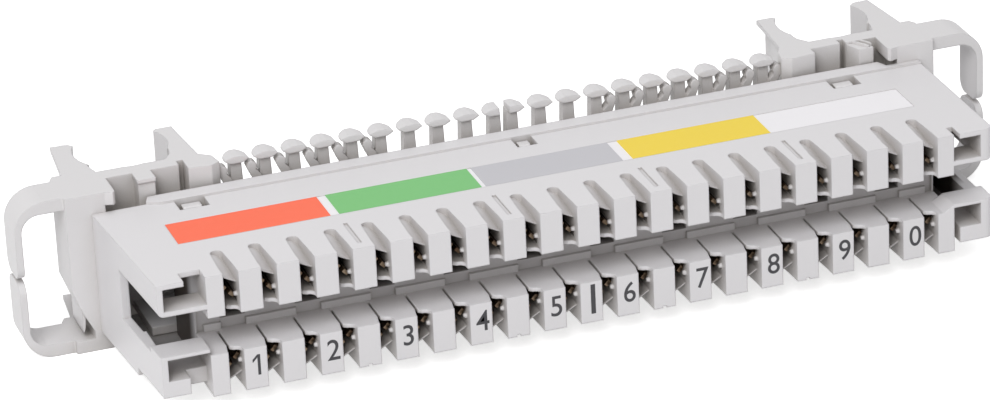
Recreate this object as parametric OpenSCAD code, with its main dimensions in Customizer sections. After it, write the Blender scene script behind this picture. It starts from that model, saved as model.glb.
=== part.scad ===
// Wiring block for ten wire pairs: two rows of slotted teeth over 45 degree contact blades,
// and a rear housing with claws that clip on two upright rods.
// X runs along the rows, Y from front to back and Z up. The pieces are drawn from the centre
// tooth, the front faces and the mid-plane, and then moved onto the standing surface.

/* [Wire slots] */
// Distance between neighbouring wire slots
slot_pitch = 4.8; // [4.7:0.05:4.9]
// Width of a wire slot at its mouth
slot_w = 1.95; // [1.8:0.05:2.1]
// Width of a wire slot at its closed end
slot_end_w = 1.5; // [1.3:0.05:1.7]
// Depth of a wire slot from the front faces
slot_depth = 6.7; // [6.3:0.1:7]
// Depth of the open mouth in front of the wire ramp
mouth_depth = 1.6; // [1.3:0.1:1.8]
// Depth of the wire ramp under the outer face, at the closed end
ramp_start = 0.7; // [0.5:0.1:0.9]
// Depth of the wire ramp under the outer face, at the mouth
ramp_drop = 1.4; // [1.2:0.1:1.6]
// Slope of the wire ramp and its web across the slot, in degrees
ramp_tilt = 28; // [20:1:32]
// Thickness of the web under the foot of the ramp
web_t = 0.2; // [0.1:0.05:0.3]
// How far the nub beside a slot's mouth stands out
nub_h = 0.4; // [0.3:0.05:0.5]
// Thickness of the tooth face that borders the channel
channel_face_t = 0.5; // [0.4:0.1:0.7]
// Width of the slit that splits that face
slit_w = 0.3; // [0.2:0.05:0.4]
// Width of the last tooth at each end
end_tooth_w = 2.2; // [2:0.1:2.4]

/* [Front housing] */
// Height of one row of teeth
row_h = 5.5; // [5.3:0.1:5.8]
// Height of the channel between the rows
channel_h = 5; // [4.6:0.1:5.4]
// Depth of the solid block that carries the teeth
block_depth = 9.5; // [9:0.1:10]
// Depth of the channel's back wall
channel_depth = 7; // [6.8:0.1:7.4]
// Thickness of the cover plates
cover_t = 1.4; // [1.2:0.1:1.6]
// Depth of the cover plates along their middle
cover_depth = 24.5; // [24.2:0.1:25]
// Depth of the cover plates at both ends
cover_end_depth = 23; // [22.7:0.1:23.4]
// Thickness of the end walls
end_wall_t = 1.1; // [0.9:0.1:1.4]
// Width of the left end beside the last tooth
left_end_w = 6.15; // [5.9:0.05:6.4]
// Width of the right end beside the last tooth
right_end_w = 5.35; // [5.1:0.05:5.6]
// How far the left end flares outwards towards the back
left_flare = 1.6; // [1.2:0.1:1.8]

/* [Channel and windows] */
// Width of a test opening in the channel
test_w = 3.2; // [2.8:0.1:3.4]
// Height of a test opening
test_h = 2.4; // [2:0.1:2.8]
// How far a lip stands out of the channel's back wall
lip_depth = 0.4; // [0.2:0.1:0.6]
// Height of a lip
lip_h = 0.8; // [0.6:0.1:1]
// Length of a snap window, front to back
window_len = 2.6; // [2.4:0.1:3]
// Width of the outer snap windows
window_w = 3.8; // [3.4:0.1:4.2]
// Width of the middle snap window
middle_window_w = 2.65; // [2.4:0.05:3]
// Distance between the snap windows
window_pitch = 43.5; // [43:0.1:44]
// Depth of the openings in the end walls, from the front faces
side_opening_depth = 13.9; // [13.4:0.1:14.4]
// Depth of the shelves in the end blocks
shelf_depth = 3.8; // [3.4:0.1:4.2]
// Height of the raised strip along the back edge
strip_h = 0.3; // [0.2:0.05:0.4]

/* [Label] */
// Depth of the label bed, front to back
label_d = 6; // [5.6:0.1:6.2]
// Distance of the label from the front faces
label_y = 10.3; // [10:0.1:10.8]
// Thickness of the white carrier strip
carrier_t = 0.3; // [0.2:0.05:0.4]
// Thickness of a coloured field
field_t = 0.1; // [0.05:0.05:0.2]

/* [Contacts] */
// Thickness of the contact sheet
contact_t = 0.5; // [0.4:0.05:0.55]
// Width of a contact blade
blade_w = 3.7; // [3.5:0.05:3.8]
// Width of the slit that grips the wire
grip_w = 0.35; // [0.3:0.05:0.5]
// Width of the contact spring
spring_w = 1.6; // [1.2:0.1:1.8]
// Gap around a blade in its seat
contact_gap = 0.05; // [0.04:0.01:0.08]

/* [Rear housing] */
// Height over the two clamp faces
rear_h = 21.2; // [21:0.1:21.6]
// Depth of the rear beam behind the cover plates
beam_d = 4.9; // [4.5:0.1:5.1]
// Height of the rear beam between the combs
beam_h = 11.6; // [11.2:0.1:12]
// Wall of the rear beam
beam_t = 1.5; // [1.2:0.1:2]
// Thickness of the clamp plates
plate_t = 1.7; // [1.5:0.1:1.9]
// Gap between the skirts and the cover plates
skirt_gap = 0.1; // [0.05:0.05:0.2]

/* [Rods] */
// Distance between the two rods
rod_spacing = 95; // [94:0.5:96]
// Radius of the rods
rod_r = 6; // [5.8:0.1:6.1]
// Distance of the rod centres behind the cover plates
rod_set_back = 10.8; // [10.6:0.1:11]
// Gap between a rod and its claws
rod_gap = 0.05; // [0.02:0.01:0.1]
// How far the claws reach past the rod centres
claw_reach = 3.7; // [3.3:0.1:4]
// How far the rods' middle lies beside the centre tooth
rod_offset = -1.8; // [-2:0.1:-1.6]

/* [Wire combs and rings] */
// Distance between neighbouring comb posts
post_pitch = 3.8; // [3.7:0.05:3.85]
// Width of a comb post at its foot
post_w = 1.7; // [1.5:0.1:1.9]
// Width of a post's cap
cap_w = 3.2; // [3:0.1:3.3]
// Thickness of a post's cap
cap_t = 0.9; // [0.8:0.1:1]
// How far the combs' middle lies beside the centre tooth
comb_offset = -1.4; // [-1.6:0.1:-1.2]
// Distance over the two wire rings
ring_span = 129.7; // [128:0.1:131]
// Depth of a wire ring along Y
ring_d = 5.3; // [4.8:0.1:5.4]
// Thickness of a ring's upright
ring_wall = 0.9; // [0.8:0.1:1.2]

/* [Hidden] */
$fn = 48;
slot_count = 20;
cut = 1;
lap = 0.2;

// Nubs beside the slots, counted from the front faces and the channel
nub_r = 0.45;
nub_y = 1.5;
nub_z = 1.95;
blade_set_back = 0.5;

// Levels over the mid-plane
channel_half = channel_h / 2;
front_half = channel_half + row_h;
rear_half = rear_h / 2;
beam_half = beam_h / 2;
pocket_low = channel_half + channel_face_t;
pocket_high = front_half - ramp_drop - web_t;
blade_z = (pocket_low + pocket_high) / 2;
cover_in = front_half - cover_t;
skirt_out = cover_in - skirt_gap;
plate_low = rear_half - plate_t;

// Places along the rows
slot_x = [for (i = [0:slot_count - 1]) (i - (slot_count - 1) / 2) * slot_pitch];
teeth_half = slot_x[slot_count - 1] + slot_w / 2 + end_tooth_w;
left_x = -teeth_half - left_end_w;
right_x = teeth_half + right_end_w;
back_left_x = left_x - left_flare;
window_x = [for (i = [-1:1]) comb_offset + 0.65 + i * window_pitch];

// End blocks: pocket and block levels, and the notches that open the pockets
upper_block_low = front_half - 4.25;
upper_pocket = [front_half - 3.6, front_half - 0.65];
lower_block = [1 - front_half, channel_half - 4.1];
lower_pocket = [3.1 - front_half, channel_half - 4.55];
side_sill = lower_block[1] - 0.75;
block_edge_r = 0.8;
block_corner_r = 1;
block_slope_w = 1.5;
left_pocket_w = left_end_w - 0.8;
right_pocket_w = right_end_w - 1.7;
partition_t = 1.1;
partition_gap = 0.5;
left_notch_w = 2.7;
right_notch_w = 0.8;
notch_depth = 2.4;

// Marker grooves on every fourth tooth
groove_w = 0.5;
groove_t = 0.25;
groove_start = 1.5;
groove_end = 7.5;

// Label fields: one for every four slots, and the last fifth stays white. The spans are counted
// in fifths of the label, with white gaps of several widths between them.
field_names = ["label_orange", "label_green", "label_grey", "label_yellow"];
field_colours = ["#ff7a58", "#7cc27a", "#c3c3c8", "#f0d750"];
field_spans = [[0, 1], [1.06, 2.01], [2.04, 2.97], [3.04, 3.99]];
label_x = -slot_count * slot_pitch / 2 - 1.1;
label_w = slot_count * slot_pitch + 1;
fifth = label_w / 5;

// Rear housing, set back from the cover plates it is pushed against
rod_y = cover_depth + rod_set_back;
back_wall_y = cover_depth + beam_d;
skirt_y = 16;
skirt_t = 1.1;
skirt_past_teeth = 3;
tab_w = [2.4, 1.5, 2.4];
window_back = 22.2;
ring_y = cover_end_depth + 0.6;
ring_corner = 4;
ring_gap = 0.5;
ring_gap_low = -0.15;
ring_tip_r = 1.6;
post_count = 20;
post_y = cover_depth + 2.3;
post_d = 1.5;
cap_y = cover_depth + 1.8;
cap_d = 2.4;
cap_short = 0.5;
middle_gap = 2.3;
nose_r = 0.65;
nose_top = rear_half - 1;
nose_y = cover_depth + 1.8;
nose_d = 1.3;
rod_x = [rod_offset - rod_spacing / 2, rod_offset + rod_spacing / 2];

// Places of the claws' fronts, counted from the rod centres
cover_v = -rod_set_back;
seat_v = 0.1 - rod_r;
wall_v = cover_v + 2.6;
block_v = cover_v + 1;
plate_v = ring_y - rod_y;
tip_v = claw_reach;
flange_t = 0.6;
claw_set_back = 1.2;
column_u = [-10.5, -5.4];
left_block_u = [6.1, 9.3];
right_block_u = [4.9, 8.6];
seat_slot_w = 0.8;
seat_slot_d = 1.2;

// The box around the whole block
middle_x = comb_offset;
total_depth = rod_y + claw_reach;

function contact_name(row, i) = str(row, "_contact_", i < 10 ? "0" : "", i);

// Moves a piece from the mid-plane onto the standing surface, with the box centred over the origin
module placed() {
    translate([-middle_x, -total_depth / 2, rear_half]) children();
}

// Draws its children above and below the mid-plane
module both_rows() {
    for (side = [0, 1]) mirror([0, 0, side]) children();
}

// A box between two corners
module span(low, high) {
    translate(low) cube(high - low);
}

// A profile in Y and Z, drawn out along X from one end to the other
module along_x(from_x, to_x) {
    translate([from_x, 0, 0]) rotate([90, 0, 90]) linear_extrude(to_x - from_x) children();
}

// A profile in X and Z, drawn out along Y from one depth to the other
module along_y(from_y, to_y) {
    translate([0, to_y, 0]) rotate([90, 0, 0]) linear_extrude(to_y - from_y) children();
}

// What a rounded corner leaves over, outside a circle and in its first quarter
module round_off(r) {
    difference() {
        square(r + lap);
        circle(r);
    }
}

// ---- Front housing ----

// Plan of a wire slot: it narrows towards its round closed end
module slot_plan() {
    end_r = slot_end_w / 2;
    polygon([
        [-slot_w / 2, -cut], [slot_w / 2, -cut], [slot_w / 2, mouth_depth],
        [end_r, slot_depth - end_r], [-end_r, slot_depth - end_r], [-slot_w / 2, mouth_depth]
    ]);
    translate([0, slot_depth - end_r]) circle(end_r);
}

// Plan of the mouth in the tooth face by the channel, with the slit behind its left side
module channel_mouth_plan() {
    half = slot_w / 2;
    bend_r = half - 0.1;
    slit_x = 0.32 - half;
    polygon([
        [-half, -cut], [half, -cut], [half, mouth_depth - 1.1], [half - bend_r, mouth_depth - 0.2],
        [slit_x + slit_w, mouth_depth + 0.15], [slit_x, mouth_depth + 0.3], [-half, 0.3]
    ]);
    translate([half - bend_r, mouth_depth - 0.2 - bend_r]) circle(bend_r);
    translate([slit_x, mouth_depth]) square([slit_w, slot_depth - mouth_depth - 0.6]);
}

// One wire slot over its ramp. The ramp rises from the mouth to the closed end, and slopes
// across the slot as the blade behind it does.
module ramp_cut() {
    rise = atan((ramp_drop - ramp_start) / (slot_depth - mouth_depth));
    intersection() {
        translate([0, 0, pocket_low]) linear_extrude(row_h + cut) slot_plan();
        union() {
            span([-slot_w, -2 * cut, pocket_low], [slot_w, mouth_depth, front_half + 2 * cut]);
            translate([0, mouth_depth, front_half - ramp_drop]) rotate([rise, ramp_tilt, 0])
                translate([-2 * slot_w, -lap, 0]) cube([4 * slot_w, 2 * slot_depth, row_h]);
        }
    }
}

// The wire pocket under the ramp, in X and Z: its roof is parallel to the ramp
module pocket_profile() {
    half = slot_w / 2;
    fall = half * tan(ramp_tilt);
    polygon([
        [-half, pocket_low], [half, pocket_low], [half, pocket_high - fall], [-half, pocket_high + fall]
    ]);
}

module blade_seat() {
    width = blade_w + 2 * contact_gap;
    thick = contact_t + 2 * contact_gap;
    translate([0, mouth_depth, blade_z]) rotate([0, 45, 0])
        translate([-width / 2, 0, -thick / 2]) cube([width, block_depth, thick]);
}

// The slots of one row: ramp, wire pocket, channel mouth and the slanted blade seat
module row_cuts() {
    for (x = slot_x) translate([x, 0, 0]) {
        ramp_cut();
        along_y(-cut, block_depth + cut) pocket_profile();
        blade_seat();
        translate([0, 0, channel_half - cut]) linear_extrude(channel_face_t + cut + lap) channel_mouth_plan();
    }
}

// Nubs that keep a pressed-in wire in its slot, one on the left side of each tooth
module nubs() {
    for (x = slot_x)
        translate([x + slot_w / 2 + lap, nub_y, channel_half + nub_z]) rotate([0, -90, 0])
            cylinder(h = nub_h + lap, r1 = nub_r, r2 = nub_r / 2, $fn = 10);
}

module marker_grooves(start) {
    for (i = [4:4:slot_count - 4]) {
        x = (i - slot_count / 2) * slot_pitch;
        span([x - groove_w / 2, start, front_half - groove_t],
            [x + groove_w / 2, groove_end, front_half + cut]);
    }
}

// Plan of the cover plates, with the flared left end and the deeper middle
module cover_plan() {
    polygon([
        [left_x, 0], [right_x, 0], [right_x, cover_end_depth], [teeth_half + 0.8, cover_end_depth],
        [teeth_half + 0.2, cover_depth], [-teeth_half - 0.2, cover_depth],
        [-teeth_half - 0.8, cover_end_depth], [back_left_x, cover_end_depth]
    ]);
}

// Plan of the hollow between the end walls, open at the back
module hollow_plan() {
    flare = left_flare / cover_end_depth;
    front = left_x - flare * block_depth + end_wall_t;
    back = left_x - flare * (cover_depth + cut) + end_wall_t;
    polygon([
        [front, block_depth], [right_x - end_wall_t, block_depth],
        [right_x - end_wall_t, cover_depth + cut], [back, cover_depth + cut]
    ]);
}

// One row of teeth as a solid bar, before its slots are cut
module row_bar() {
    span([-teeth_half, 0, channel_half], [teeth_half, block_depth, front_half]);
}

// Back wall of the channel with its lips, and the partitions that close the hollow at both ends
module channel_wall() {
    inner = teeth_half - partition_t;
    span([-teeth_half, channel_depth, -channel_half - lap], [teeth_half, block_depth, channel_half + lap]);
    for (x = [-teeth_half, inner])
        span([x, channel_depth, 0], [x + partition_t, skirt_y - partition_gap, cover_in + lap]);
    for (x = [for (i = [0:slot_count / 2]) pair_x(i) - slot_pitch]) {
        lip_half = slot_pitch - test_w / 2;
        span([max(x - lip_half, -inner), channel_depth - lip_depth, channel_half - lip_h - lap / 2],
            [min(x + lip_half, inner), channel_depth + lap, channel_half + lap]);
    }
}

// Centre of the test opening of one pair, counted from 0 and a little beside the pair's tooth
function pair_x(i) = (2 * i + 1 - slot_count / 2) * slot_pitch - 0.7;

// Everything that is open beside the teeth at the right end, or at the left end once mirrored:
// from the teeth out to the pocket's wall and on through the end wall. A notch opens each
// pocket towards its outer face.
module end_room(pocket_w, notch_w, end_x) {
    edge = teeth_half;
    pocket_x = edge + pocket_w;
    notch_x = edge + notch_w;
    back = block_depth + cut;
    for (levels = [upper_pocket, lower_pocket])
        span([edge, -cut, levels[0]], [pocket_x, back, levels[1]]);
    span([edge, shelf_depth, lower_pocket[0]], [pocket_x, back, upper_pocket[1]]);
    span([edge, -cut, upper_pocket[0]], [notch_x, notch_depth, front_half + cut]);
    span([edge, -cut, -front_half - cut], [notch_x, notch_depth, lower_pocket[1]]);
    for (room = [[-cut, lower_block[1]], [shelf_depth, side_sill]])
        span([edge, room[0], room[1]], [end_x + cut, side_opening_depth, upper_block_low]);
}

module end_rooms() {
    mirror([1, 0, 0]) end_room(left_pocket_w, left_notch_w, -back_left_x);
    end_room(right_pocket_w, right_notch_w, right_x);
}

// Rounds the right end's front corners and the lower edges of both upper blocks
module end_rounding() {
    height = front_half + cut;
    flare_angle = atan(left_flare / cover_end_depth);
    edge_z = upper_block_low + block_edge_r;
    translate([right_x - block_corner_r, block_corner_r, -height])
        linear_extrude(2 * height) rotate(-90) round_off(block_corner_r);
    translate([left_x, 0, edge_z]) rotate([0, 0, flare_angle]) translate([block_edge_r, 0, 0])
        along_y(-cut, side_opening_depth) rotate(180) round_off(block_edge_r);
    translate([right_x - block_edge_r, 0, edge_z])
        along_y(-cut, side_opening_depth) rotate(-90) round_off(block_edge_r);
}

module snap_windows() {
    widths = [window_w, middle_window_w, window_w];
    for (i = [0:2])
        span([window_x[i] - widths[i] / 2, window_back - window_len, cover_in - cut],
            [window_x[i] + widths[i] / 2, window_back, front_half + cut]);
}

module back_strip() {
    translate([0, 0, front_half - lap]) linear_extrude(strip_h + lap) polygon([
        [-teeth_half - 0.8, cover_end_depth], [-teeth_half + 1, window_back], [right_x, window_back],
        [right_x, cover_end_depth], [teeth_half + 0.8, cover_end_depth],
        [teeth_half + 0.2, cover_depth], [-teeth_half - 0.2, cover_depth]
    ]);
}

// Cover plates with the end blocks and end walls, without the teeth
module shell() {
    teeth_room = teeth_half - lap;
    back = block_depth - lap;
    below = -front_half - cut;
    difference() {
        translate([0, 0, -front_half]) linear_extrude(2 * front_half) cover_plan();
        span([-teeth_room, -cut, below], [teeth_room, back, front_half + cut]);
        span([back_left_x, -cut, below], [right_x + cut, back, lower_block[0]]);
        translate([0, 0, -cover_in]) linear_extrude(2 * cover_in) hollow_plan();
    }
}

// Opens the channel at both ends, with a slope up to the lower block at the right end
module channel_end_cut() {
    difference() {
        span([-teeth_half, -cut, -channel_half], [teeth_half, channel_depth - lip_depth, channel_half]);
        block_slope();
    }
}

// Slope between the last lower tooth and the top of the lower block beside it
module block_slope() {
    foot = teeth_half - block_slope_w;
    below = -channel_half - lap;
    along_y(0, shelf_depth)
        polygon([[foot, -channel_half], [teeth_half, lower_block[1]], [teeth_half, below], [foot, below]]);
}

module front_housing() {
    color("#d7d5d8") placed() both_rows() nubs();
    color("#d7d5d8") placed() difference() {
        union() {
            shell();
            both_rows() {
                row_bar();
                back_strip();
                channel_wall();
            }
            block_slope();
        }
        both_rows() {
            row_cuts();
            snap_windows();
        }
        end_rooms();
        end_rounding();
        channel_end_cut();
        for (i = [0:slot_count / 2 - 1])
            span([pair_x(i) - test_w / 2, channel_depth - cut, -test_h / 2],
                [pair_x(i) + test_w / 2, block_depth + cut, test_h / 2]);
        marker_grooves(groove_start);
        mirror([0, 0, 1]) marker_grooves(-cut);
        span([label_x, label_y, front_half - carrier_t - field_t],
            [label_x + label_w, label_y + label_d, front_half + cut]);
    }
}

// ---- Label ----

module label_carrier() {
    low = front_half - carrier_t - field_t;
    color("#e6e5e8") placed()
        span([label_x, label_y, low], [label_x + label_w, label_y + label_d, low + carrier_t]);
}

module label_field(i) {
    color(field_colours[i]) placed()
        span([label_x + field_spans[i][0] * fifth, label_y, front_half - field_t],
            [label_x + field_spans[i][1] * fifth, label_y + label_d, front_half]);
}

// ---- Contacts ----

// Flat outline of the blade: two tines that grip the wire, and a neck behind the seat
module blade_plan() {
    half = blade_w / 2;
    front = mouth_depth + blade_set_back;
    neck = block_depth + 0.3;
    difference() {
        polygon([
            [-half, front + 1.2], [-half + 0.7, front], [half - 0.7, front], [half, front + 1.2],
            [half, neck], [spring_w / 2, neck], [spring_w / 2, neck + 1.4],
            [-spring_w / 2, neck + 1.4], [-spring_w / 2, neck], [-half, neck]
        ]);
        translate([-grip_w / 2, front]) square([grip_w, slot_depth - front]);
        polygon([[-0.7, front - cut], [0.7, front - cut], [0, front + 1]]);
    }
}

// Spring behind the blade, bent down to meet the other row's contact on the mid-plane
module spring_profile() {
    start = block_depth + 0.6;
    touch = block_depth + 9.7;
    polygon([
        [start, blade_z - contact_t / 2], [start + 3, blade_z - contact_t / 2], [touch, 0], [touch + 1.8, 0],
        [touch + 1.8, contact_t], [touch + 0.15, contact_t], [start + 3.15, blade_z + contact_t / 2],
        [start, blade_z + contact_t / 2]
    ]);
}

module contact(i) {
    color("#c9c6bf") translate([slot_x[i - 1], 0, 0]) {
        translate([0, 0, blade_z]) rotate([0, 45, 0])
            translate([0, 0, -contact_t / 2]) linear_extrude(contact_t) blade_plan();
        along_x(-spring_w / 2, spring_w / 2) spring_profile();
    }
}

// ---- Rear housing ----
// The claws are drawn round the left rod, with +X towards the middle of the block,
// and mirrored for the right rod.

module at_rods() {
    translate([rod_x[0], rod_y, 0]) children();
    translate([rod_x[1], rod_y, 0]) mirror([1, 0, 0]) children();
}

// Plan of the stiff inner claw with its block, and the seat wall in front of the rod. The claw
// is thinner where it stands back between its flanges.
module inner_claw_plan(block_u, set_back) {
    polygon([
        [4.9, tip_v - 0.9], [5.6, tip_v - 0.2], [7.7 - set_back, tip_v - 0.2], [7.8 - set_back, tip_v - 2.2],
        [8.4, wall_v + 2.2], [block_u[1] + 0.5, wall_v + 1], [block_u[1] + 0.9, block_v + 0.4],
        [block_u[1] - 0.3, block_v - 0.3], [block_u[0], block_v + 0.1], [block_u[0], wall_v],
        [-5.2, wall_v], [-5.2, seat_v], [0.7 * rod_r, seat_v], [0.87 * rod_r, -0.73 * rod_r],
        [0.91 * rod_r, -0.48 * rod_r], [0.77 * rod_r, -0.43 * rod_r], [0.67 * rod_r, 0]
    ]);
}

module inner_claw(block_u) {
    translate([0, 0, -rear_half]) linear_extrude(rear_h) inner_claw_plan(block_u, claw_set_back);
    both_rows() translate([0, 0, rear_half - flange_t]) linear_extrude(flange_t) inner_claw_plan(block_u, 0);
}

// Plan of the outer prong, thinner where it stands back under its flanges
module prong_plan(set_back) {
    polygon([
        [set_back - 9, seat_v - 0.6], [set_back - 9, seat_v + 0.7], [set_back - 8.1, tip_v],
        [-0.98 * rod_r, tip_v - 0.2], [-0.88 * rod_r, tip_v - 0.9], [-0.73 * rod_r, 0],
        [-0.73 * rod_r, -0.53 * rod_r], [-0.87 * rod_r, -0.6 * rod_r], [-0.8 * rod_r, seat_v],
        [-0.8 * rod_r, seat_v - 0.6]
    ]);
}

// Plan of the clamp plate between the prong and the wire ring
module plate_plan() {
    polygon([
        [-10.2, seat_v + 0.8], [-4.9, seat_v + 0.8], [-4.7, seat_v - 0.3], [-4.1, wall_v],
        [-4.1, plate_v - 0.6], [-4.4, plate_v - 1], [-5.4, plate_v - 0.6], [-9.4, plate_v - 0.6],
        [-10.7, plate_v], [-10.7, seat_v - 0.1]
    ]);
}

// Plan of the end column that carries the plates
module column_plan() {
    front = cover_end_depth - rod_y;
    polygon([
        [column_u[0], front], [column_u[1], front], [column_u[1], wall_v], [-4.9, wall_v],
        [-4.9, seat_v], [column_u[0], seat_v]
    ]);
}

// The column's outer side slants in under the lower half, in X and Z
module column_slant() {
    along_y(-rod_y, 0) polygon([
        [column_u[0] - cut, -2], [column_u[0], -2], [column_u[0] + 1.2, -5.3], [column_u[0] + 2.5, -7.9],
        [column_u[0] + 2.5, -plate_low], [column_u[0] - cut, -plate_low]
    ]);
}

module clamps() {
    difference() {
        translate([0, 0, -rear_half]) linear_extrude(rear_h) column_plan();
        column_slant();
    }
    translate([0, 0, -rear_half]) linear_extrude(rear_h) prong_plan(claw_set_back);
    both_rows() {
        translate([0, 0, rear_half - flange_t]) linear_extrude(flange_t) prong_plan(0);
        translate([0, 0, plate_low]) linear_extrude(plate_t) plate_plan();
    }
}

// Claws on both rods. Each end has its own claw block and its own catch in front of the rod.
module claws() {
    at_rods() clamps();
    translate([rod_x[0], rod_y, 0]) inner_claw(left_block_u);
    translate([rod_x[1], rod_y, 0]) mirror([1, 0, 0]) inner_claw(right_block_u);
    left_catch();
    right_catch();
}

// Catch of the left rod: a block under a thin cap
module left_catch() {
    front = cover_depth + 0.4;
    back = rod_y - rod_r + 0.6;
    translate([rod_x[0], 0, 0]) {
        span([-0.6, front, -rear_half], [1.6, back, rear_half - 0.2]);
        both_rows() span([-0.75, front - 0.25, rear_half - 0.5], [1.65, back, rear_half]);
    }
}

// Catch of the right rod: slanted towards the middle, with two ridges on top
module right_catch() {
    top = rear_half - 0.3;
    translate([rod_x[1], rod_y, -top]) linear_extrude(2 * top) polygon([
        [0.1, wall_v + 0.2], [0.1, wall_v - 0.1], [0.9, cover_v + 0.3],
        [2.9, cover_v + 0.3], [2.7, wall_v + 0.2]
    ]);
    translate([rod_x[1], rod_y, -rear_half]) linear_extrude(rear_h) {
        polygon([[0.7, wall_v + 0.2], [1.1, wall_v + 0.2], [2.5, cover_v + 0.6], [2.1, cover_v + 0.6]]);
        polygon([[1.7, wall_v + 0.2], [2.1, wall_v + 0.2], [2.9, wall_v - 1.1], [2.9, wall_v - 1.8]]);
    }
}

// Slots in the seat walls, beside the left claw's block and beside the right catch
module seat_slots() {
    for (x = [rod_x[0] + left_block_u[0] - seat_slot_w, rod_x[1] - seat_slot_w])
        span([x, rod_y + wall_v - cut, -rear_half - cut],
            [x + seat_slot_w, rod_y + wall_v + seat_slot_d, rear_half + cut]);
}

// A block with two rounded corners at its low X end, in X and Z
module rounded_end(low_x, high_x, half, r) {
    translate([low_x + r, -half]) square([high_x - low_x - r, 2 * half]);
    translate([low_x, r - half]) square([2 * r, 2 * (half - r)]);
    for (z = [r - half, half - r]) translate([low_x + r, z]) circle(r);
}

// The gap between a ring's two arms, in Y and Z: it widens round both rounded tips
module ring_gap_profile() {
    middle = [ring_y + ring_d / 2, ring_gap_low + ring_gap / 2];
    corner = [ring_d / 2 - ring_tip_r, ring_gap / 2 + ring_tip_r];
    translate([ring_y - cut, ring_gap_low]) square([ring_d + 2 * cut, ring_gap]);
    for (side = [0, 1], row = [0, 1])
        translate(middle) mirror([side, 0]) mirror([0, row])
            translate([corner[0], -corner[1]]) round_off(ring_tip_r);
}

// Split wire ring at the left end, counted from the combs' middle, with its arms up to the root
module wire_ring(root) {
    outer = -ring_span / 2;
    inner = outer + ring_wall;
    difference() {
        along_y(ring_y, ring_y + ring_d) difference() {
            rounded_end(outer, root, rear_half, ring_corner);
            rounded_end(inner, root + cut, plate_low, ring_corner - plate_t);
        }
        along_x(outer - cut, inner + cut) ring_gap_profile();
    }
}

module wire_rings() {
    translate([comb_offset, 0, 0]) {
        wire_ring(rod_x[0] + column_u[0] + lap - comb_offset);
        mirror([1, 0, 0]) wire_ring(comb_offset - rod_x[1] + column_u[0] + lap);
    }
}

// Beam between the clamps, hollow towards the front
module rear_beam() {
    end_past_rod = 4.4;
    hollow_from_rod = 2;
    difference() {
        span([rod_x[0] - end_past_rod, cover_depth, -beam_half],
            [rod_x[1] + end_past_rod, back_wall_y, beam_half]);
        span([rod_x[0] + hollow_from_rod, cover_depth - cut, beam_t - beam_half],
            [rod_x[1] - hollow_from_rod, back_wall_y - beam_t, beam_half - beam_t]);
    }
}

// Skirt that slides in under a cover plate, with the hooks of the snap windows
module skirt() {
    half = teeth_half + skirt_past_teeth;
    span([-half, skirt_y, skirt_out - skirt_t], [half, cover_depth + beam_t, skirt_out]);
    for (i = [0:2]) {
        front = window_back - window_len + 0.3;
        along_x(window_x[i] - tab_w[i] / 2, window_x[i] + tab_w[i] / 2) polygon([
            [front, skirt_out - lap], [window_back - 0.2, skirt_out - lap],
            [window_back - 0.2, front_half - 0.4], [front + 1.1, front_half - 0.4], [front, skirt_out + 0.5]
        ]);
    }
}

// Place of one comb post: ten on each side of the middle gap
function post_x(i) = comb_offset + (i < post_count / 2
    ? -middle_gap / 2 - (post_count / 2 - 1 - i) * post_pitch
    : middle_gap / 2 + (i - post_count / 2) * post_pitch);

// Plan of a cap: flat in front and round behind, cut short beside the middle gap
module cap_plan(i) {
    r = cap_w / 2;
    left = i == post_count / 2 ? -cap_short : -r;
    right = i == post_count / 2 - 1 ? cap_short : r;
    intersection() {
        polygon(concat([[r, cap_y], [-r, cap_y]],
            [for (turn = [180:-20:0]) [r * cos(turn), cap_y + cap_d - r + r * sin(turn)]]));
        translate([left, cap_y]) square([right - left, cap_d]);
    }
}

// Arched section of a cap, in X and Z, thin at both sides
module cap_profile() {
    r = cap_w / 2;
    polygon([
        [-r, -0.5 * cap_t], [-0.5 * r, -cap_t], [0.5 * r, -cap_t], [r, -0.5 * cap_t],
        [0.9 * r, -0.3 * cap_t], [0.3 * r, 0], [-0.3 * r, 0], [-0.9 * r, -0.3 * cap_t]
    ]);
}

// Posts of one comb, each with its cap, and the noses that hold the wires between the outer ones
module comb() {
    neck = rear_half - cap_t + lap;
    for (i = [0:post_count - 1]) translate([post_x(i), 0, 0]) {
        along_y(post_y, post_y + post_d) polygon([
            [-post_w / 2, beam_half - lap], [post_w / 2, beam_half - lap],
            [0.4 * post_w, neck], [-0.4 * post_w, neck]
        ]);
        intersection() {
            translate([0, 0, rear_half]) along_y(cap_y, cap_y + cap_d) cap_profile();
            translate([0, 0, neck - cap_t]) linear_extrude(2 * cap_t) cap_plan(i);
        }
        if (i < 6) mirror([1, 0, 0]) nose();
        if (i > post_count - 8) nose();
    }
}

// Nose that leans from the foot of a post into the gap on its right
module nose() {
    middle = post_pitch / 2;
    along_y(nose_y, nose_y + nose_d) polygon(concat(
        [for (turn = [0:30:180]) [middle + nose_r * cos(turn), nose_top - nose_r + nose_r * sin(turn)]],
        [
            [middle - 0.8 * nose_r, nose_top - 1.8 * nose_r], [0.45 * post_w, beam_half + 1.9],
            [0.2 * post_w, beam_half - lap], [0.6 * post_w, beam_half - lap],
            [middle + 0.2 * nose_r, nose_top - 3 * nose_r]
        ]
    ));
}

module rear_housing() {
    color("#d2d1d4") placed() difference() {
        union() {
            claws();
            rear_beam();
            both_rows() {
                skirt();
                comb();
            }
            wire_rings();
        }
        seat_slots();
        for (x = rod_x)
            translate([x, rod_y, -rear_half - cut])
                cylinder(h = rear_h + 2 * cut, r = rod_r + rod_gap, $fn = 96);
    }
}

front_housing();
rear_housing();
label_carrier();
for (i = [0:3])
    label_field(i);
for (i = [1:slot_count])
    placed() contact(i);
for (i = [1:slot_count])
    placed() mirror([0, 0, 1]) contact(i);
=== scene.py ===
import math
import bpy
from mathutils import Matrix, Vector


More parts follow.
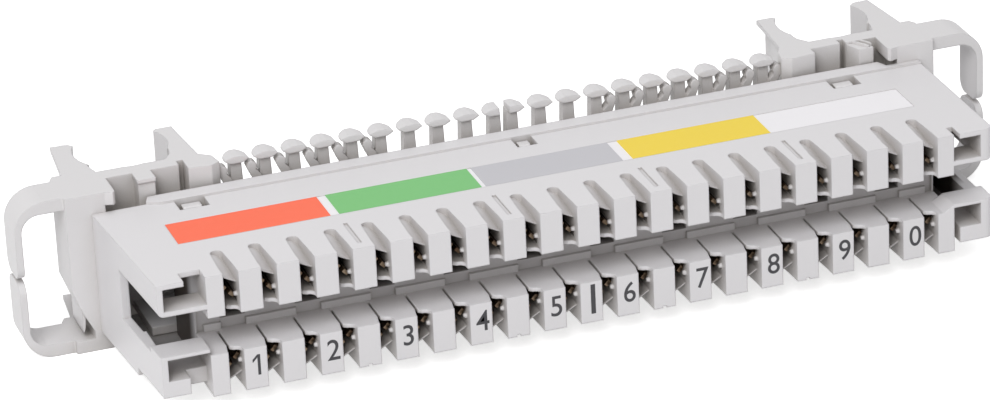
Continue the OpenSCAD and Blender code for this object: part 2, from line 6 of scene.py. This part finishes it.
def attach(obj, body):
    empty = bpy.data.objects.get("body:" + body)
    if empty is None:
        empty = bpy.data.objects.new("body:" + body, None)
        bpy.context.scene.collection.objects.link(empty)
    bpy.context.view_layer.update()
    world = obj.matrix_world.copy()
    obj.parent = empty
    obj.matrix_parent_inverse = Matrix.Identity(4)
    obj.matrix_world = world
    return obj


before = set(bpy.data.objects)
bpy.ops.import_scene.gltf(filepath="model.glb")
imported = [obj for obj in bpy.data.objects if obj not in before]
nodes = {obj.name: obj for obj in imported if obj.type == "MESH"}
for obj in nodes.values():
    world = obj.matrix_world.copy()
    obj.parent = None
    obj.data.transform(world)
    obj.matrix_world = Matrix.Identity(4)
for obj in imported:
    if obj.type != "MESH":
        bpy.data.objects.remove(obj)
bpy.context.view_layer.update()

mm = 0.001
print("frame loaded")


def linear(level):
    return level / 12.92 if level <= 0.04045 else ((level + 0.055) / 1.055) ** 2.4


def colourOf(red, green, blue):
    return (linear(red / 255), linear(green / 255), linear(blue / 255), 1)


def newMaterial(name):
    material = bpy.data.materials.new(name)
    material.use_nodes = True
    material.node_tree.nodes.clear()
    return material, material.node_tree


def addNode(tree, kind, **inputs):
    node = tree.nodes.new(kind)
    for label, value in inputs.items():
        node.inputs[label.replace("_", " ")].default_value = value
    return node


softening = {"edgeSamples": 6, "recessSamples": 8, "grainDepth": 0.02 * mm, "grainSize": 2500}
metalGrain = {"edge": 0.05 * mm, "size": 4000, "strength": 0.1}


def noiseNode(tree, scale, detail, roughness):
    points = tree.nodes.new("ShaderNodeTexCoord")
    noise = addNode(tree, "ShaderNodeTexNoise", Scale=scale, Detail=detail, Roughness=roughness)
    tree.links.new(points.outputs["Object"], noise.inputs["Vector"])
    return noise.outputs["Fac"]


def spread(tree, value, low, high, start=0, end=1):
    span = addNode(tree, "ShaderNodeMapRange")
    span.inputs["From Min"].default_value = start
    span.inputs["From Max"].default_value = end
    span.inputs["To Min"].default_value = low
    span.inputs["To Max"].default_value = high
    tree.links.new(value, span.inputs["Value"])
    return span.outputs["Result"]


def combine(tree, operation, first, second):
    node = tree.nodes.new("ShaderNodeMath")
    node.operation = operation
    tree.links.new(first, node.inputs[0])
    tree.links.new(second, node.inputs[1])
    return node.outputs[0]


def mixColours(tree, factor, first, second):
    mix = tree.nodes.new("ShaderNodeMix")
    mix.data_type = "RGBA"
    for socket, colour in (("A", first), ("B", second)):
        if isinstance(colour, tuple):
            mix.inputs[socket].default_value = colour
        else:
            tree.links.new(colour, mix.inputs[socket])
    tree.links.new(factor, mix.inputs["Factor"])
    return mix.outputs["Result"]


def finishMaterial(tree, surface):
    output = tree.nodes.new("ShaderNodeOutputMaterial")
    tree.links.new(surface.outputs["BSDF"], output.inputs["Surface"])


# Edges shaded as slightly rounded, over a fine grain
def softEdges(tree, surface, edge, grainSize, grain):
    rounded = addNode(tree, "ShaderNodeBevel", Radius=edge)
    rounded.samples = softening["edgeSamples"]
    bump = addNode(tree, "ShaderNodeBump", Strength=grain, Distance=softening["grainDepth"])
    tree.links.new(noiseNode(tree, grainSize, 3, 0.6), bump.inputs["Height"])
    tree.links.new(rounded.outputs["Normal"], bump.inputs["Normal"])
    tree.links.new(bump.outputs["Normal"], surface.inputs["Normal"])


# One between two places on an axis, fading to none over a short way at each side
def within(tree, value, low, high, fade):
    above = spread(tree, value, 0, 1, low, low + fade)
    below = spread(tree, value, 1, 0, high - fade, high)
    return combine(tree, "MULTIPLY", above, below)


# Where painted shade covers the front housing's inside: a box in object space, fading out at its edges
def hollowMask(tree, hollow):
    points = tree.nodes.new("ShaderNodeTexCoord")
    axes = tree.nodes.new("ShaderNodeSeparateXYZ")
    tree.links.new(points.outputs["Object"], axes.inputs[0])
    sideways, inward, upright = (
        within(tree, axes.outputs[axis], *hollow["reach" + axis], hollow["fade" + axis]) for axis in "XYZ"
    )
    return combine(tree, "MULTIPLY", combine(tree, "MULTIPLY", sideways, inward), upright)


# Satin plastic: a little cloudy and finely grained, with painted shade darkening it where ambient
# occlusion finds it hemmed in
def mouldedPlastic(name, look):
    material, tree = newMaterial(name)
    surface = addNode(tree, "ShaderNodeBsdfPrincipled")
    cloud = spread(tree, noiseNode(tree, look["cloudSize"], 3, 0.5), 0.1, 0.9)
    skin = mixColours(tree, cloud, colourOf(*look["shade"]), colourOf(*look["tone"]))
    # Painted shade: the colour turns to a darker grey where nearby surfaces enclose this one
    if "paintedRecessShade" in look:
        occlusion = addNode(tree, "ShaderNodeAmbientOcclusion", Distance=look["recessReach"])
        occlusion.samples = softening["recessSamples"]
        openness = spread(tree, occlusion.outputs["AO"], 0, 1, look["recessFrom"], look["recessTo"])
        skin = mixColours(tree, openness, colourOf(*look["paintedRecessShade"]), skin)
    # Painted shade: the housing's inside turns dark brown-grey, as little light reaches it
    if "hollow" in look:
        inside = hollowMask(tree, look["hollow"])
        skin = mixColours(tree, inside, skin, colourOf(*look["hollow"]["tone"]))
    tree.links.new(skin, surface.inputs["Base Color"])
    smooth, rough = look["roughness"] - 0.05, look["roughness"] + 0.07
    gloss = spread(tree, noiseNode(tree, 900, 4, 0.6), smooth, rough)
    tree.links.new(gloss, surface.inputs["Roughness"])
    softEdges(tree, surface, look["edge"], softening["grainSize"], look["grain"])
    finishMaterial(tree, surface)
    return material


def platedMetal(name, look):
    material, tree = newMaterial(name)
    surface = addNode(tree, "ShaderNodeBsdfPrincipled", Metallic=1)
    tarnish = spread(tree, noiseNode(tree, 700, 4, 0.6), 0, 1, 0.3, 0.7)
    skin = mixColours(tree, tarnish, colourOf(*look["shade"]), colourOf(*look["tone"]))
    tree.links.new(skin, surface.inputs["Base Color"])
    tree.links.new(spread(tree, noiseNode(tree, 1500, 4, 0.6), 0.25, 0.45), surface.inputs["Roughness"])
    softEdges(tree, surface, metalGrain["edge"], metalGrain["size"], metalGrain["strength"])
    finishMaterial(tree, surface)
    return material


def dress(name, material):
    for slot in nodes[name].material_slots:
        slot.material = material


housingLook = {
    "tone": (222, 220, 222), "shade": (218, 216, 218), "cloudSize": 45,
    # painted shade colour, and how far and how strongly it reaches into corners and hollows
    "paintedRecessShade": (178, 173, 169), "recessReach": 6 * mm, "recessFrom": 0.1, "recessTo": 0.75,
    "roughness": 0.42, "grain": 0.1, "edge": 0.25 * mm,
}
# Painted shade inside the front housing, seen through its side openings, partly also standing for the
# dark contacts within
hollow = {
    "tone": (64, 56, 51), "reachX": (-52.6 * mm, 54.8 * mm), "fadeX": 0.2 * mm,
    "reachY": (-12.8 * mm, 3 * mm), "fadeY": 2.5 * mm,
    "reachZ": (3.9 * mm, 17.3 * mm), "fadeZ": 0.2 * mm,
}
rearLook = dict(housingLook, tone=(219, 217, 218), shade=(214, 212, 213))
fieldLook = {"shadeShare": 0.98, "cloudSize": 60, "roughness": 0.5, "grain": 0.04, "edge": 0.05 * mm}
fieldTones = {
    "label_carrier": (243, 241, 244),
    "label_orange": (255, 112, 78),
    "label_green": (122, 194, 120),
    "label_grey": (197, 196, 201),
    "label_yellow": (243, 214, 68),
}
contactLook = {"tone": (138, 122, 104), "shade": (78, 60, 45)}

dress("front_housing", mouldedPlastic("frontPlastic", dict(housingLook, hollow=hollow)))
dress("rear_housing", mouldedPlastic("rearPlastic", rearLook))
for fieldName, tone in fieldTones.items():
    softer = tuple(fieldLook["shadeShare"] * channel for channel in tone)
    dress(fieldName, mouldedPlastic(fieldName, dict(fieldLook, tone=tone, shade=softer)))
contactMetal = platedMetal("contactMetal", contactLook)
for name in nodes:
    if "contact" in name:
        dress(name, contactMetal)
print("materials done")


# Numbers printed on the lower teeth, one for each pair, with a bar in the middle
printed = {
    "signs": {3: "2", 5: "3", 7: "4", 9: "5", 11: "6", 13: "7", 15: "8", 17: "9", 19: "0"},
    "middleTooth": 10, "pitch": 4.8 * mm, "height": 2.75 * mm, "thickness": 0.03 * mm,
    "middleX": 1.4 * mm, "aside": 0.2 * mm, "faceY": -19.5 * mm, "centreZ": 5.75 * mm,
    "weight": 0.005, "slim": 0.92, "barWidth": 0.6 * mm, "barHeight": 4 * mm,
    "oneTooth": 1, "stemWidth": 0.36 * mm, "stemAside": 0.15 * mm,
    "flagAside": 0.62 * mm, "flagDrop": 0.62 * mm, "flagWidth": 0.4 * mm,
}


def selectOnly(piece):
    bpy.ops.object.select_all(action="DESELECT")
    piece.select_set(True)
    bpy.context.view_layer.objects.active = piece


def settle(piece, name, material):
    selectOnly(piece)
    bpy.ops.object.transform_apply(location=True, rotation=True, scale=True)
    piece.name = name
    piece.data.materials.clear()
    piece.data.materials.append(material)
    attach(piece, "root")


def toothX(index):
    return printed["middleX"] + (index - printed["middleTooth"]) * printed["pitch"] + printed["aside"]


def printNumber(index, sign, material):
    bpy.ops.object.text_add()
    piece = bpy.context.object
    piece.data.body = sign
    piece.data.align_x = "CENTER"
    piece.data.offset = printed["weight"]
    piece.data.extrude = 0.5 * printed["thickness"]
    selectOnly(piece)
    bpy.ops.object.convert(target="MESH")
    low = min(vertex.co.y for vertex in piece.data.vertices)
    high = max(vertex.co.y for vertex in piece.data.vertices)
    size = printed["height"] / (high - low)
    piece.scale = (printed["slim"] * size, size, 1)
    piece.rotation_euler = (math.radians(90), 0, 0)
    piece.location = (toothX(index), printed["faceY"], printed["centreZ"] - size * (high + low) / 2)
    settle(piece, "print_" + sign, material)


def addStroke(index, aside, width, height):
    bpy.ops.object.select_all(action="DESELECT")
    bpy.ops.mesh.primitive_cube_add(size=1)
    piece = bpy.context.object
    piece.dimensions = (width, printed["thickness"], height)
    piece.location = (toothX(index) + aside, printed["faceY"], printed["centreZ"])
    bpy.ops.object.transform_apply(location=True, rotation=True, scale=True)
    return piece


def printBar(material):
    piece = addStroke(printed["middleTooth"], 0, printed["barWidth"], printed["barHeight"])
    bpy.ops.object.mode_set(mode="EDIT")
    bpy.ops.mesh.select_all(action="SELECT")
    bpy.ops.mesh.bevel(offset=0.2 * printed["thickness"], segments=1)
    bpy.ops.object.mode_set(mode="OBJECT")
    settle(piece, "print_bar", material)


# A one with its flag: the stem is cut near the top, and that part's left side drawn out and down
def printOne(material):
    stem = addStroke(printed["oneTooth"], printed["stemAside"], printed["stemWidth"], printed["height"])
    cutZ = printed["centreZ"] + 0.5 * printed["height"] - printed["flagWidth"]
    bpy.ops.object.mode_set(mode="EDIT")
    bpy.ops.mesh.select_all(action="SELECT")
    bpy.ops.mesh.bisect(plane_co=(0, 0, cutZ), plane_no=(0, 0, 1))
    bpy.ops.mesh.select_all(action="DESELECT")
    bpy.ops.object.mode_set(mode="OBJECT")
    for face in stem.data.polygons:
        face.select = face.normal.x < -0.9 and face.center.z > cutZ
    bpy.ops.object.mode_set(mode="EDIT")
    bpy.ops.mesh.select_mode(type="FACE")
    draw = (-printed["flagAside"], 0, -printed["flagDrop"])
    bpy.ops.mesh.extrude_region_move(TRANSFORM_OT_translate={"value": draw})
    bpy.ops.object.mode_set(mode="OBJECT")
    settle(stem, "print_1", material)


inkLook = {"tone": (62, 61, 65), "shade": (48, 47, 51), "cloudSize": 400,
           "roughness": 0.55, "grain": 0.05, "edge": 0.01 * mm}
ink = mouldedPlastic("printInk", inkLook)
for index, sign in printed["signs"].items():
    printNumber(index, sign, ink)
printBar(ink)
printOne(ink)
print("numbers done")


def areaLight(name, size, power, place, aim):
    lamp = bpy.data.lights.new(name, "AREA")
    lamp.shape = "RECTANGLE"
    lamp.size, lamp.size_y = size
    lamp.energy = power
    holder = bpy.data.objects.new(name, lamp)
    bpy.context.scene.collection.objects.link(holder)
    holder.location = place
    holder.rotation_euler = (Vector(aim) - Vector(place)).to_track_quat("-Z", "Y").to_euler()


# What the camera, gloss and glass see at once: one where any of them looks
def seenDirectly(tree):
    path = tree.nodes.new("ShaderNodeLightPath")
    seen = path.outputs["Is Camera Ray"]
    for ray in ("Is Glossy Ray", "Is Transmission Ray"):
        seen = combine(tree, "MAXIMUM", seen, path.outputs[ray])
    return seen


def makeWorld(strength):
    world = bpy.data.worlds.new("studio")
    bpy.context.scene.world = world
    world.use_nodes = True
    tree = world.node_tree
    tree.nodes.clear()
    glow = addNode(tree, "ShaderNodeBackground", Color=(1, 1, 1, 1), Strength=strength)
    backdrop = addNode(tree, "ShaderNodeBackground", Color=(1, 1, 1, 1), Strength=1)
    mix = tree.nodes.new("ShaderNodeMixShader")
    tree.links.new(seenDirectly(tree), mix.inputs["Fac"])
    tree.links.new(glow.outputs["Background"], mix.inputs[1])
    tree.links.new(backdrop.outputs["Background"], mix.inputs[2])
    output = tree.nodes.new("ShaderNodeOutputWorld")
    tree.links.new(mix.outputs["Shader"], output.inputs["Surface"])


# A pale floor that keeps a faint shadow and is white beyond it
def makeFloor(look):
    bpy.ops.mesh.primitive_plane_add(size=look["side"], location=(0, 0, 0))
    floor = bpy.context.object
    floor.name = "floor"
    material, tree = newMaterial("paleFloor")
    matte = addNode(tree, "ShaderNodeBsdfDiffuse", Color=colourOf(*look["tone"]))
    lift = addNode(tree, "ShaderNodeEmission", Color=(1, 1, 1, 1))
    tree.links.new(spread(tree, seenDirectly(tree), 0, look["lift"]), lift.inputs["Strength"])
    both = tree.nodes.new("ShaderNodeAddShader")
    tree.links.new(matte.outputs["BSDF"], both.inputs[0])
    tree.links.new(lift.outputs["Emission"], both.inputs[1])
    output = tree.nodes.new("ShaderNodeOutputMaterial")
    tree.links.new(both.outputs["Shader"], output.inputs["Surface"])
    floor.data.materials.append(material)


view = {
    "azimuth": -18.28, "elevation": 24.97, "roll": -2.75, "distance": 0.626,
    "lens": 181.9, "sensor": 36, "nearest": 0.01, "farthest": 20,
    "target": (-4.8 * mm, -2.2 * mm, 13.1 * mm),
}


def makeCamera():
    turn = (Matrix.Rotation(math.radians(view["azimuth"]), 3, "Z")
            @ Matrix.Rotation(math.radians(90 - view["elevation"]), 3, "X")
            @ Matrix.Rotation(math.radians(view["roll"]), 3, "Z"))
    lens = bpy.data.cameras.new("camera")
    lens.lens = view["lens"]
    lens.sensor_width = view["sensor"]
    lens.clip_start, lens.clip_end = view["nearest"], view["farthest"]
    camera = bpy.data.objects.new("camera", lens)
    bpy.context.scene.collection.objects.link(camera)
    camera.location = Vector(view["target"]) + turn @ Vector((0, 0, view["distance"]))
    camera.rotation_euler = turn.to_euler()
    bpy.context.scene.camera = camera


studio = {
    "glow": 0.43, "middle": (0, 0, 0.01),
    "floor": {"side": 3, "tone": (225, 225, 225), "lift": 0.68},
    "lights": {
        "keyLight": {"size": (0.6, 0.6), "power": 6.4, "place": (-0.45, -0.55, 0.7)},
        "topLight": {"size": (0.7, 0.5), "power": 1.1, "place": (0.2, 0.1, 0.9)},
    },
}
makeWorld(studio["glow"])
makeFloor(studio["floor"])
for lightName, light in studio["lights"].items():
    areaLight(lightName, light["size"], light["power"], light["place"], studio["middle"])
makeCamera()
bpy.context.scene.view_settings.view_transform = "Standard"
print("studio done")
